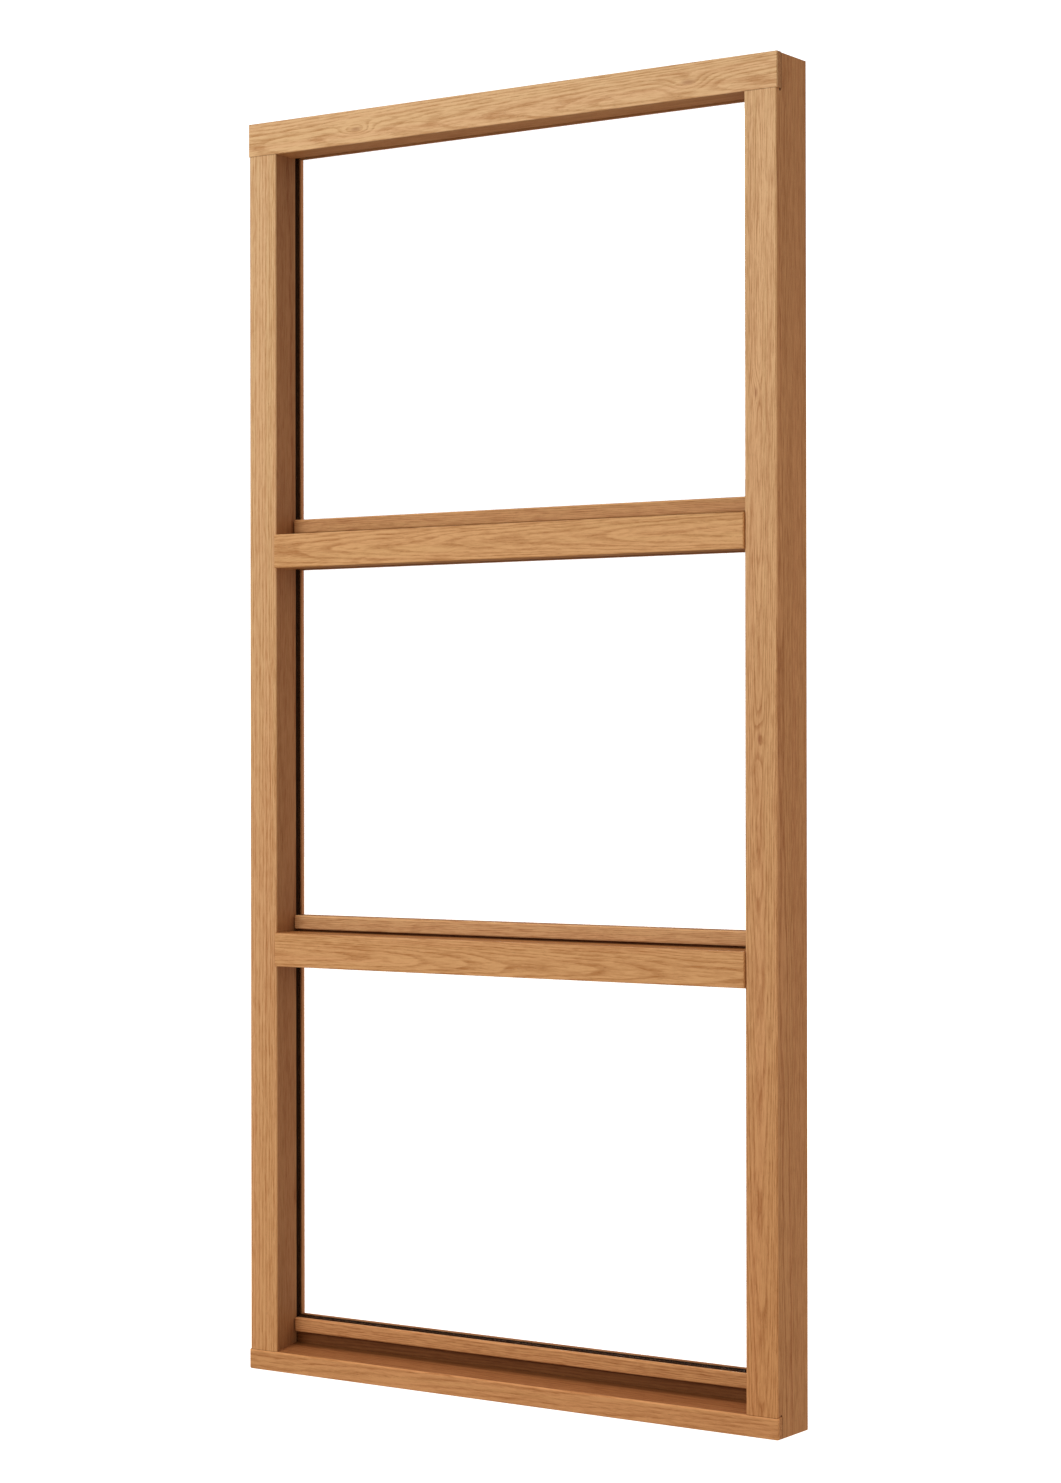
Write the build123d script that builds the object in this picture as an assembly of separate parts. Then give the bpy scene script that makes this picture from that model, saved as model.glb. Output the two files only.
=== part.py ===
from build123d import *
import os

# Fixed timber window: three sealed panes, one above the other, in a solid oak frame.
# Millimetres. X runs along the sill, -Y is the outdoor side, +Z is up.
# The origin is the middle of the sill's flat underside.

# Frame as a whole
WIDTH = 1020.0              # over the outer sides of the two jambs
HEIGHT = 2100.0             # from the sill's underside to the top of the head
DEPTH = 94.0                # front of the jambs to the back of the frame
FACE = 55.0                 # visible width of jambs and head from outside
FRONT = -DEPTH / 2          # plane of the jambs' outdoor faces
BACK = DEPTH / 2            # plane of the indoor side
HALF = WIDTH / 2
SIGHT_X = HALF - FACE       # inner edge of a jamb seen from outside

# Glazing rebate and sealed unit, counted back from the front plane
REVEAL = 54.0               # depth of wood in front of the glazing gasket
GASKET_T = 3.0              # outdoor gasket between wood and glass
GLASS_T = 4.0               # one sheet of glass
CAVITY = 6.0                # gas space, the thickness of the spacer bar
TAPE_T = 1.0                # indoor glazing tape between glass and bead
REBATE = 18.0               # how far the rebate is let in behind the sightline
EDGE_GAP = 4.0              # clearance round the edge of the sealed unit
GASKET_W = 12.0             # width of the outdoor gasket
SPACER_W = 11.0             # spacer bar with its sealant, in from the glass edge
TAPE_W = 12.0               # width of the indoor tape
GLAZING = REVEAL + GASKET_T                 # outdoor face of the sealed unit
UNIT_T = 2 * GLASS_T + CAVITY
BEAD_FRONT = GLAZING + UNIT_T + TAPE_T      # where the indoor beads begin
REBATE_X = SIGHT_X + REBATE                 # bottom of the rebate in the jambs

# Head and its front lip, which laps over the tops of the jambs
LIP_OVERHANG = 2.0          # lips of head and sill stand past the jambs at each end
HEAD_LIP_T = 13.0
HEAD_Z = HEIGHT - FACE      # lower edge of the head

# Sill and its front lip, which laps over the feet of the jambs
SILL_PROUD = 1.0            # the lip stands this far in front of the jambs
SILL_LIP_T = 11.0
SILL_LIP_H = 32.4           # front edge of the sill's top
SILL_SLOPE_H = 42.4         # the top's height at the foot of the riser
SILL_SLOPE = (SILL_SLOPE_H - SILL_LIP_H) / (GLAZING + SILL_PROUD)
LIP_BACK_H = SILL_LIP_H + SILL_SLOPE * (SILL_LIP_T + SILL_PROUD)
SILL_PLATFORM = 70.3        # top of the riser, where the glazing rebate begins
SILL_LIP_R = 2.0            # round the lip's front
SILL_CORNER_R = 3.0         # lower corners of the lip's ends

# Transoms between the jambs
TRANSOM_H = 56.0            # height of the front face
TRANSOM_PROUD = 5.0         # the front face stands this far before the jambs
LOWER_TRANSOM_Z = 680.5     # underside
UPPER_TRANSOM_Z = 1349.0
TRANSOM_FALL = 1.2          # the top rises by this much from its front edge to the riser
TRANSOM_UPSTAND = 9.2       # height of the riser over the front face's top edge
TRANSOM_R = 2.0             # round the front face

# Weather beads outside, along the foot of each pane
WEATHER_T = 10.0            # from the riser out
WEATHER_H = 23.5
WEATHER_END_GAP = 1.0       # clearance to the jamb at each end
WEATHER_R = 3.0             # round the front
WEATHER_CORNER_R = 3.5      # its four corners seen from the front
SILL_DROP = 9.5             # how far the sill's bead hangs down over the riser
TRANSOM_DROP = 5.0          # how far a transom's does

# Splayed glazing beads inside, mitred at the corners of each pane
BEAD_NOSE_H = 19.5          # height at the glass, just past the sightline
BEAD_BACK_H = 7.3           # height at the indoor edge
BEAD_NOSE_R = 0.8
BEAD_BACK_R = 1.5
TAPE_H = 16.5               # the tape stops short of the bead's nose

# Stub tenons of head, sill and transoms, let into the jambs
TENON_L = 35.0
TENON_FRONT = 20.0          # tenon cheeks, behind the jambs' front plane
TENON_BACK = 44.0
TENON_SHOULDER = 9.0        # shoulder above and below a tenon
SILL_SHOULDER = 4.5         # shoulder above the sill's tenon

# Small round cuts that clear the inner corners of the housings for the lips
RELIEF_R = 1.8
RELIEF_L = 6.0              # in from the jamb's outer side

# Eased edges
ARRIS_R = 1.5
HEAD_LIP_R = 1.0
BACK_R = 1.0

# Fillets are found by their corner, and lengths past a part's end by this margin
REACH = 5.0


def deep(depth):
    """Turn a depth behind the jambs' front plane into Y."""
    return FRONT + depth


def profile(points, eased=()):
    """Closed outline through the points, with (corner, radius) pairs rounded."""
    face = make_face(Polyline(*points, close=True))
    for corner, radius in eased:
        vertex = face.vertices().sort_by_distance(Vector(*corner))[0]
        face = fillet(vertex, radius)
    return face


def along_x(face, half_length):
    """Carry a (Y, Z) outline along X, to the same length on both sides of the middle."""
    return extrude(Plane.YZ * face, amount=half_length, both=True)


def block(x0, x1, y0, y1, z0, z1):
    """Plain block between two corners."""
    return Pos((x0 + x1) / 2, (y0 + y1) / 2, (z0 + z1) / 2) * Box(x1 - x0, y1 - y0, z1 - z0)


def ease_front(solid, radius):
    """Round the whole outline of a solid's front face."""
    front = solid.faces().filter_by(Axis.Y).sort_by(Axis.Y)[0]
    return fillet(front.edges(), radius)


def with_ends(front_part, back_part, tenon_low, tenon_high):
    """Join the solid before the glazing stop and the outline behind it, and add the tenons.

    The front part stops at the jambs' sightline. The back part is scribed past it into
    the jambs' rebates, and the tenons go on into the jambs.
    """
    member = front_part + along_x(back_part, REBATE_X)
    for side in (-1, 1):
        tenon_x = sorted((side * (SIGHT_X - REACH), side * (SIGHT_X + TENON_L)))
        member += block(*tenon_x, deep(TENON_FRONT), deep(TENON_BACK), tenon_low, tenon_high)
    return member


def make_head():
    """Top rail: rebated below for the upper pane, with the lip that laps over the jambs."""
    reach = HALF + LIP_OVERHANG
    lip = block(-reach, reach, FRONT, deep(HEAD_LIP_T), HEAD_Z, HEIGHT)
    front_part = block(-SIGHT_X, SIGHT_X, deep(HEAD_LIP_T), deep(REVEAL), HEAD_Z, HEIGHT)
    back_part = profile(
        [
            (deep(REVEAL), HEAD_Z + REBATE),
            (deep(REVEAL), HEIGHT),
            (BACK, HEIGHT),
            (BACK, HEAD_Z + REBATE),
        ],
        [((BACK, HEIGHT), BACK_R), ((BACK, HEAD_Z + REBATE), BACK_R)],
    )
    tenon_low, tenon_high = HEAD_Z + TENON_SHOULDER, HEIGHT - TENON_SHOULDER
    rail = with_ends(front_part, back_part, tenon_low, tenon_high)
    return ease_front(lip, HEAD_LIP_R) + rail


def make_sill():
    """Bottom rail: sloped top, upright riser below the glass, and the lip over the jambs."""
    front = FRONT - SILL_PROUD
    back_of_lip = deep(SILL_LIP_T)
    stop_h = SILL_LIP_H + SILL_SLOPE * (REVEAL + SILL_PROUD)
    lip_section = profile(
        [(front, 0), (front, SILL_LIP_H), (back_of_lip, LIP_BACK_H), (back_of_lip, 0)]
    )
    lip = along_x(lip_section, HALF + LIP_OVERHANG)
    corners = [end.edges().sort_by(Axis.Z)[0] for end in lip.faces().filter_by(Axis.X)]
    lip = ease_front(fillet(corners, SILL_CORNER_R), SILL_LIP_R)
    front_part = profile(
        [(back_of_lip, 0), (back_of_lip, LIP_BACK_H), (deep(REVEAL), stop_h), (deep(REVEAL), 0)]
    )
    back_part = profile(
        [
            (deep(REVEAL), 0),
            (deep(REVEAL), stop_h),
            (deep(GLAZING), SILL_SLOPE_H),
            (deep(GLAZING), SILL_PLATFORM),
            (BACK, SILL_PLATFORM),
            (BACK, 0),
        ],
        [((BACK, SILL_PLATFORM), BACK_R), ((BACK, 0), BACK_R)],
    )
    return lip + with_ends(
        along_x(front_part, SIGHT_X), back_part, TENON_SHOULDER, SILL_LIP_H - SILL_SHOULDER
    )


def make_transom(underside):
    """Cross rail: proud eased face, upstand for the pane above, rebate for the one below."""
    top = underside + TRANSOM_H
    front = FRONT - TRANSOM_PROUD
    stop_h = top + TRANSOM_FALL * REVEAL / GLAZING
    front_section = profile(
        [(front, underside), (front, top), (deep(REVEAL), stop_h), (deep(REVEAL), underside)]
    )
    front_part = ease_front(along_x(front_section, SIGHT_X), TRANSOM_R)
    back_part = profile(
        [
            (deep(REVEAL), underside + REBATE),
            (deep(REVEAL), stop_h),
            (deep(GLAZING), top + TRANSOM_FALL),
            (deep(GLAZING), top + TRANSOM_UPSTAND),
            (BACK, top + TRANSOM_UPSTAND),
            (BACK, underside + REBATE),
        ],
        [
            ((BACK, top + TRANSOM_UPSTAND), BACK_R),
            ((BACK, underside + REBATE), BACK_R),
        ],
    )
    return with_ends(
        front_part, back_part, underside + TENON_SHOULDER, top - TENON_SHOULDER
    )


def make_notches():
    """Room in the jambs' fronts for the square-backed lips of head and sill."""
    front = FRONT - REACH
    top = profile(
        [
            (front, HEAD_Z),
            (front, HEIGHT + REACH),
            (deep(HEAD_LIP_T), HEIGHT + REACH),
            (deep(HEAD_LIP_T), HEAD_Z),
        ]
    )
    foot = profile(
        [
            (front, -REACH),
            (front, SILL_LIP_H - SILL_SLOPE * (REACH - SILL_PROUD)),
            (deep(SILL_LIP_T), LIP_BACK_H),
            (deep(SILL_LIP_T), -REACH),
        ]
    )
    notches = along_x(top, HALF + REACH) + along_x(foot, HALF + REACH)
    for depth, height in ((HEAD_LIP_T, HEAD_Z), (SILL_LIP_T, LIP_BACK_H)):
        for side in (-1, 1):
            relief = Rot(0, 90, 0) * Cylinder(RELIEF_R, 2 * RELIEF_L)
            notches += Pos(side * HALF, deep(depth), height) * relief
    return notches


def make_jamb(side, rails):
    """Upright, full height, rebated for the panes and mortised for the rails let into it."""
    outer, sight, rebate = side * HALF, side * SIGHT_X, side * REBATE_X
    section = profile(
        [
            (outer, FRONT),
            (sight, FRONT),
            (sight, deep(REVEAL)),
            (rebate, deep(REVEAL)),
            (rebate, BACK),
            (outer, BACK),
        ],
        [
            ((outer, FRONT), ARRIS_R),
            ((sight, FRONT), ARRIS_R),
            ((rebate, BACK), BACK_R),
            ((outer, BACK), BACK_R),
        ],
    )
    jamb = extrude(section, amount=HEIGHT, dir=(0, 0, 1)) - make_notches()
    for rail in rails:
        jamb -= rail
    return jamb


def make_weather_bead(platform, drop):
    """Outdoor bead along the foot of a pane: rounded face, rebated behind for the gasket."""
    low = platform - drop
    high = low + WEATHER_H
    half = SIGHT_X - WEATHER_END_GAP
    blank = block(-half, half, deep(GLAZING - WEATHER_T), deep(GLAZING), low, high)
    blank = fillet(blank.edges().filter_by(Axis.Y), WEATHER_CORNER_R)
    rebate = block(-HALF, HALF, deep(REVEAL), BACK, platform + BACK_R, high + REACH)
    return ease_front(blank, WEATHER_R) - rebate


def make_bead(length):
    """Indoor bead lying along X on the rebate: splayed behind, mitred at both ends."""
    section = profile(
        [
            (deep(BEAD_FRONT), 0),
            (deep(BEAD_FRONT), BEAD_NOSE_H),
            (BACK, BEAD_BACK_H),
            (BACK, 0),
        ],
        [((deep(BEAD_FRONT), BEAD_NOSE_H), BEAD_NOSE_R), ((BACK, BEAD_BACK_H), BEAD_BACK_R)],
    )
    half = length / 2
    mitres = make_face(
        Polyline(
            (-half, 0),
            (half, 0),
            (half - BEAD_NOSE_H, BEAD_NOSE_H),
            (-half + BEAD_NOSE_H, BEAD_NOSE_H),
            close=True,
        )
    )
    cutter = extrude(Plane.XZ * mitres, amount=DEPTH, both=True)
    return along_x(section, half) & cutter


def make_beads(low, high):
    """The four indoor beads of a pane between two rebate heights, by the side they line."""
    middle, rise = (low + high) / 2, high - low
    return {
        "bottom": Pos(0, 0, low) * make_bead(2 * REBATE_X),
        "top": Pos(0, 0, high) * Rot(0, 180, 0) * make_bead(2 * REBATE_X),
        "left": Pos(-REBATE_X, 0, middle) * Rot(0, 90, 0) * make_bead(rise),
        "right": Pos(REBATE_X, 0, middle) * Rot(0, -90, 0) * make_bead(rise),
    }


def make_ring(outer, inner, depth, thickness):
    """Flat rectangular ring of one thickness; each outline is (half width, low, high)."""
    outer_x, outer_low, outer_high = outer
    inner_x, inner_low, inner_high = inner
    y0, y1 = deep(depth), deep(depth + thickness)
    ring = block(-outer_x, outer_x, y0, y1, outer_low, outer_high)
    return ring - block(-inner_x, inner_x, y0 - REACH, y1 + REACH, inner_low, inner_high)


def make_pane(low, high, drop):
    """Gasket, two sheets of glass, spacer frame and tape of the unit in one rebate."""
    edge = (REBATE_X - EDGE_GAP, low + EDGE_GAP, high - EDGE_GAP)
    bead_top = low - drop + WEATHER_H
    gasket_inner = (SIGHT_X, bead_top, high - REBATE)
    gasket_outer = (SIGHT_X + GASKET_W, bead_top - GASKET_W, high - REBATE + GASKET_W)
    spacer_inner = (edge[0] - SPACER_W, edge[1] + SPACER_W, edge[2] - SPACER_W)
    tape_inner = (REBATE_X - TAPE_H, low + TAPE_H, high - TAPE_H)
    tape_outer = (tape_inner[0] + TAPE_W, tape_inner[1] - TAPE_W, tape_inner[2] + TAPE_W)
    sheets = []
    for depth in (GLAZING, GLAZING + GLASS_T + CAVITY):
        sheets.append(block(-edge[0], edge[0], deep(depth), deep(depth + GLASS_T), *edge[1:]))
    return {
        "outer_gasket": make_ring(gasket_outer, gasket_inner, REVEAL, GASKET_T),
        "outer_glass": sheets[0],
        "spacer_frame": make_ring(edge, spacer_inner, GLAZING + GLASS_T, CAVITY),
        "inner_glass": sheets[1],
        "inner_tape": make_ring(tape_outer, tape_inner, GLAZING + UNIT_T, TAPE_T),
    }


def build():
    """All the parts by node name."""
    head, sill = make_head(), make_sill()
    lower, upper = make_transom(LOWER_TRANSOM_Z), make_transom(UPPER_TRANSOM_Z)
    rails = (head, sill, lower, upper)
    parts = {
        "head": head,
        "sill": sill,
        "lower_transom": lower,
        "upper_transom": upper,
        "left_jamb": make_jamb(-1, rails),
        "right_jamb": make_jamb(1, rails),
    }
    lower_platform = LOWER_TRANSOM_Z + TRANSOM_H + TRANSOM_UPSTAND
    upper_platform = UPPER_TRANSOM_Z + TRANSOM_H + TRANSOM_UPSTAND
    rebates = {
        "lower": (SILL_PLATFORM, LOWER_TRANSOM_Z + REBATE, SILL_DROP),
        "middle": (lower_platform, UPPER_TRANSOM_Z + REBATE, TRANSOM_DROP),
        "upper": (upper_platform, HEAD_Z + REBATE, TRANSOM_DROP),
    }
    for pane, (low, high, drop) in rebates.items():
        parts[f"{pane}_weather_bead"] = make_weather_bead(low, drop)
        for name, piece in make_pane(low, high, drop).items():
            parts[f"{pane}_{name}"] = piece
        for side, bead in make_beads(low, high).items():
            parts[f"{pane}_bead_{side}"] = bead
    return parts


os.makedirs("parts", exist_ok=True)
for node, solid in build().items():
    export_step(solid, f"parts/{node}.step")
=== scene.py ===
"""Looks of a fixed oak window: three sealed panes, one above the other, in an oiled oak frame.

Metres, with +X along the sill, -Y outdoors and +Z up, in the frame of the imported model.
"""

import logging
import math
from dataclasses import dataclass
from enum import Enum

import bpy
import numpy as np
from mathutils import Euler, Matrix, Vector


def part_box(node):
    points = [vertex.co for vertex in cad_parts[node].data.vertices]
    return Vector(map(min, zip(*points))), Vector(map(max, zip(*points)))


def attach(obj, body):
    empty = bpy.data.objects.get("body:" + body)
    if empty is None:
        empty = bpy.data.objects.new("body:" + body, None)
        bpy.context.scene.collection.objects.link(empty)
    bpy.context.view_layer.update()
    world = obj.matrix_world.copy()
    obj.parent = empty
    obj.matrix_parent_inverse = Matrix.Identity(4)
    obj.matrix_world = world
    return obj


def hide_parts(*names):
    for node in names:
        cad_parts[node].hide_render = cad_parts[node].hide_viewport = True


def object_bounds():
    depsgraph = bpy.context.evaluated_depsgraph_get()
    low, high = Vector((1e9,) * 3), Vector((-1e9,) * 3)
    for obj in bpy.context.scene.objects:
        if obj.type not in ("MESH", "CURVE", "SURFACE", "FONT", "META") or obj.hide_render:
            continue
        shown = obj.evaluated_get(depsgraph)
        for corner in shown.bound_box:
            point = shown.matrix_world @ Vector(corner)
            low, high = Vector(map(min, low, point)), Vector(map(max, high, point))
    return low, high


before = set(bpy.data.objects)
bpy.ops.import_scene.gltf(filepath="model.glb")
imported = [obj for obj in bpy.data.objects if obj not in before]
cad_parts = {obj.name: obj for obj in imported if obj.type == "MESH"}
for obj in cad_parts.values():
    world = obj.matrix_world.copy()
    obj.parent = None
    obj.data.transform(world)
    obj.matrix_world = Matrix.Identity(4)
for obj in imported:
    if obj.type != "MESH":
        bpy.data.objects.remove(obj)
CAD_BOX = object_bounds()

LOG = logging.getLogger("window")
BODY = "root"
MM = 0.001
Colour = tuple[float, float, float]
Place = tuple[float, float, float]
Span = tuple[float, float]
Value = float | bpy.types.NodeSocket

PLAIN: Colour = (1.0, 1.0, 1.0)
NEVER_Z = 3.0                       # a crest height that no board reaches
NOISE_MIDDLE = 0.5                  # what noise swings about

# How noise is drawn out along and across the grain, in waves per metre
BEND_WAVES = (4.0, 22.0, 22.0)      # slow bends of the growth rings
RIPPLE_WAVES = (26.0, 90.0, 90.0)   # their small ripples
WANDER_WAVES = (14.0, 40.0, 40.0)   # how the fibres wander
THREAD_WAVES = (38.0, 560.0, 560.0)
FINE_WAVES = (70.0, 1300.0, 1300.0)
PORE_WAVES = (170.0, 2400.0, 2400.0)
TONE_WAVES = (2.2, 34.0, 34.0)
HUE_WAVES = (1.3, 70.0, 70.0)

# Shares of a growth ring: its early wood sets in sharply, and then fades
RING_ONSET: Span = (0.0, 0.14)
RING_FADE: Span = (0.16, 0.7)
RIPPLE_SHARE = 0.12                 # of the waviness
UNEVEN_WAVES = 70.0                 # along the radius: wide and narrow rings take turns
UNEVEN_RINGS = 2.2                  # by so many rings
BAND_WAVES = 0.23                   # bands of some rings together, in waves per ring
PORE_SPAN: Span = (0.32, 0.24)      # of the noise's low values

# A knot is so many sizes long and deep, and its core dark within this span of steps
KNOT_LONG = 3.2
KNOT_DEEP = 9.0
KNOT_CORE: Span = (0.5, 0.08)

# Spans over which the wood's tone, painted shade and painted highlight change. Behind the outdoor
# face:
SKIN: Span = (1.2 * MM, 4.5 * MM)
# inwards from the window's middle plane: the recesses' rear, the throats' two ends, indoors
REAR: Span = (12.0 * MM, 18.0 * MM)
THROAT_MOUTH: Span = (-12.0 * MM, 2.0 * MM)
THROAT_REAR: Span = (11.5 * MM, 15.0 * MM)
INDOORS: Span = (45.4 * MM, 46.8 * MM)
# past the ends of the lips, which stand out furthest: the outer sides, and the lips' ends
OUTER_SIDE: Span = (-14.0 * MM, -5.0 * MM)
LIP_END: Span = (-0.7 * MM, -0.2 * MM)
# in height: over the head's top, over the sill's foot, and down from a crest, where a highlight
# is painted
TOP: Span = (-15.0 * MM, -5.0 * MM)
FOOT: Span = (8.0 * MM, 3.0 * MM)
CREST_HIGHLIGHT: Span = (0.8 * MM, 4.0 * MM)
# and how the painted shade in the recesses and on the sides deepens from mid height to the head
CROWN: Span = (1.2, 2.1)
CROWN_SHADE_GAIN = 0.87

# The joint's dark line beside a lip, part seam and part painted shadow, and a painted shadow dot
# at the lip's corner
LINE_EDGE: Span = (-1.0 * MM, -0.2 * MM)
LINE_FADE: Span = (0.3 * MM, 1.5 * MM)
LINE_SHADE = 0.6
UPRIGHT_EDGE: Span = (-0.8 * MM, -0.1 * MM)
UPRIGHT_FADE: Span = (4.2 * MM, 6.2 * MM)
UPRIGHT_END: Span = (-0.4 * MM, 0.6 * MM)
UPRIGHT_SHADE = 0.8
SHADOW_DOT_BEYOND = 1.2 * MM
SHADOW_DOT_SPAN: Span = (1.8 * MM, 3.6 * MM)

# How far each part of the grain pulls the light wood towards the dark one
STREAK_SPAN: Span = (0.34, 0.64)
STREAK_SHARE = 0.30
RING_SHARE = 0.9
SHARES = (("Tone", 0.4), ("Band", 0.4), ("Thread", 1.25), ("Fine", 1.0))
HUE_SPAN: Span = (0.38, 0.62)
YELLOW_LEAN: Colour = (0.996, 1.008, 0.99)
RED_LEAN: Colour = (1.007, 0.99, 0.99)
# The joint's line: a dark seam with painted shadow of the lip
JOINT_SEAM_AND_SHADOW_TINT: Colour = (0.30, 0.22, 0.16)
PORE_REST = 0.25                    # how far pores show between the rings
PORE_SHARE = 0.5
KNOT_SHARE = 0.5
GLOSS = 0.42                        # roughness of the oiled wood
STREAK_GLOSS = 0.10
PORE_GLOSS = 0.25
FINE_RELIEF = 0.35
STREAK_RELIEF = -0.3


class Grain(Enum):
    """Which way the fibres of a board run."""

    LEVEL = "level"
    UPRIGHT = "upright"


class Side(Enum):
    """The side of a pane that a bead lines, as (x, z) pointing from the wood into the opening."""

    BOTTOM = (0, 1)
    TOP = (0, -1)
    LEFT = (1, 0)
    RIGHT = (-1, 0)


def shade(red: int, green: int, blue: int) -> Colour:
    """Turn a display colour into a linear one.

    Args:
        red, green, blue: the colour as it shows on a screen, 0 to 255.

    Returns:
        The same colour in linear light, 0 to 1.
    """
    return tuple(((part / 255 + 0.055) / 1.055) ** 2.4 for part in (red, green, blue))


PORE_COLOUR = shade(120, 72, 40)
KNOT_COLOUR = shade(150, 84, 44)


class Wiring:
    """Adds shader nodes to one tree and joins them."""

    def __init__(self, tree: bpy.types.NodeTree) -> None:
        """Keep the tree that is wired."""
        self.tree = tree

    def add(self, kind: str, **settings: object) -> bpy.types.Node:
        """Add a node.

        Args:
            kind: Blender's name for the node's type.
            settings: its properties, by name.

        Returns:
            The node.
        """
        node = self.tree.nodes.new(kind)
        for name, value in settings.items():
            setattr(node, name, value)
        return node

    def feed(self, socket: bpy.types.NodeSocket, value: object) -> None:
        """Join a value to a socket.

        Args:
            socket: the input.
            value: a socket, which is linked, or a number or colour, which is set.
        """
        if isinstance(value, bpy.types.NodeSocket):
            self.tree.links.new(value, socket)
        elif isinstance(value, tuple) and socket.type == "RGBA":
            socket.default_value = (*value, 1.0)
        else:
            socket.default_value = value

    def math(self, operation: str, *values: Value, clamp: bool = False) -> bpy.types.NodeSocket:
        """Work out one step of arithmetic on numbers.

        Args:
            operation: Blender's name for it.
            values: its numbers or sockets.
            clamp: whether the result is kept between 0 and 1.

        Returns:
            The result's socket.
        """
        node = self.add("ShaderNodeMath", operation=operation, use_clamp=clamp)
        for socket, value in zip(node.inputs, values):
            self.feed(socket, value)
        return node.outputs[0]

    def vector(self, operation: str, *values: object) -> bpy.types.NodeSocket:
        """Work out one step of arithmetic on vectors.

        Args:
            operation: Blender's name for it.
            values: its vectors or sockets.

        Returns:
            The result's socket, a number's for a length or dot product.
        """
        node = self.add("ShaderNodeVectorMath", operation=operation)
        for socket, value in zip(node.inputs, values):
            self.feed(socket, value)
        return node.outputs["Value" if operation in ("LENGTH", "DOT_PRODUCT") else "Vector"]

    def join(self, x: Value, y: Value, z: Value) -> bpy.types.NodeSocket:
        """Make a vector.

        Args:
            x, y, z: its three parts.

        Returns:
            The vector's socket.
        """
        node = self.add("ShaderNodeCombineXYZ")
        for socket, value in zip(node.inputs, (x, y, z)):
            self.feed(socket, value)
        return node.outputs[0]

    def split(self, vector: bpy.types.NodeSocket) -> list[bpy.types.NodeSocket]:
        """Take a vector apart.

        Args:
            vector: its socket.

        Returns:
            The sockets of X, Y and Z.
        """
        node = self.add("ShaderNodeSeparateXYZ")
        self.feed(node.inputs[0], vector)
        return list(node.outputs)

    def ramp(self, value: Value, low: float, high: float,
             start: float = 0.0, end: float = 1.0) -> bpy.types.NodeSocket:
        """Spread a stretch of a value smoothly over another.

        Args:
            value: what is spread.
            low, high: the stretch of the value.
            start, end: what the result is at low and at high, and beyond them.

        Returns:
            The result's socket.
        """
        node = self.add("ShaderNodeMapRange", interpolation_type="SMOOTHSTEP")
        for socket, number in zip(node.inputs, (value, low, high, start, end)):
            self.feed(socket, number)
        return node.outputs[0]

    def blend(self, amount: Value, first: object, second: object,
              way: str = "MIX") -> bpy.types.NodeSocket:
        """Mix two colours.

        Args:
            amount: how far the second one counts, 0 to 1.
            first, second: the colours.
            way: Blender's name for the way of mixing.

        Returns:
            The mixed colour's socket.
        """
        node = self.add("ShaderNodeMix", data_type="RGBA", blend_type=way)
        colours = [s for s in node.inputs if s.type == "RGBA"]
        self.feed(node.inputs[0], amount)
        self.feed(colours[0], first)
        self.feed(colours[1], second)
        return next(s for s in node.outputs if s.type == "RGBA")

    def scale(self, colour: bpy.types.NodeSocket, gain: Value) -> bpy.types.NodeSocket:
        """Make a colour so many times as light."""
        return self.blend(1.0, colour, self.join(gain, gain, gain), "MULTIPLY")

    def noise(self, place: bpy.types.NodeSocket, scale: float, detail: float,
              output: str = "Fac", roughness: float = 0.5) -> bpy.types.NodeSocket:
        """Make smooth noise.

        Args:
            place: the vector that it changes over.
            scale: waves for each unit of that vector.
            detail: how many finer layers it has.
            output: Fac for one number, or Color for three.
            roughness: how strong the finer layers are.

        Returns:
            The noise's socket, which swings about 0.5.
        """
        node = self.add("ShaderNodeTexNoise", noise_dimensions="3D")
        self.feed(node.inputs["Vector"], place)
        node.inputs["Scale"].default_value = scale
        node.inputs["Detail"].default_value = detail
        node.inputs["Roughness"].default_value = roughness
        return node.outputs[output]

    def group(self, tree: bpy.types.NodeTree, **values: object) -> bpy.types.Node:
        """Place a node group.

        Args:
            tree: the group.
            values: a value or socket for each input, by its name with _ for each space.

        Returns:
            The group's node.
        """
        node = self.add("ShaderNodeGroup", node_tree=tree)
        for name, value in values.items():
            self.feed(node.inputs[name.replace("_", " ")], value)
        return node


def open_group(
    name: str, inputs: dict[str, object], outputs: dict[str, str]
) -> tuple[bpy.types.NodeTree, Wiring, bpy.types.Node, bpy.types.Node]:
    """Start a shader node group.

    Args:
        name: the group's name.
        inputs: each input's name and its value at first: a number, a vector or a colour.
        outputs: each output's name and "Float" or "Color".

    Returns:
        The tree, its wiring, and its input and output nodes.
    """
    tree = bpy.data.node_groups.new(name, "ShaderNodeTree")
    for label, value in inputs.items():
        plain = isinstance(value, float)
        kind = "Float" if plain else ("Vector" if value is None else "Color")
        socket = tree.interface.new_socket(
            name=label, in_out="INPUT", socket_type=f"NodeSocket{kind}"
        )
        if plain:
            socket.default_value = value
        elif value is not None:
            socket.default_value = (*value, 1.0)
    for label, kind in outputs.items():
        tree.interface.new_socket(
            name=label, in_out="OUTPUT", socket_type=f"NodeSocket{kind}"
        )
    wiring = Wiring(tree)
    return tree, wiring, wiring.add("NodeGroupInput"), wiring.add("NodeGroupOutput")


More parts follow.
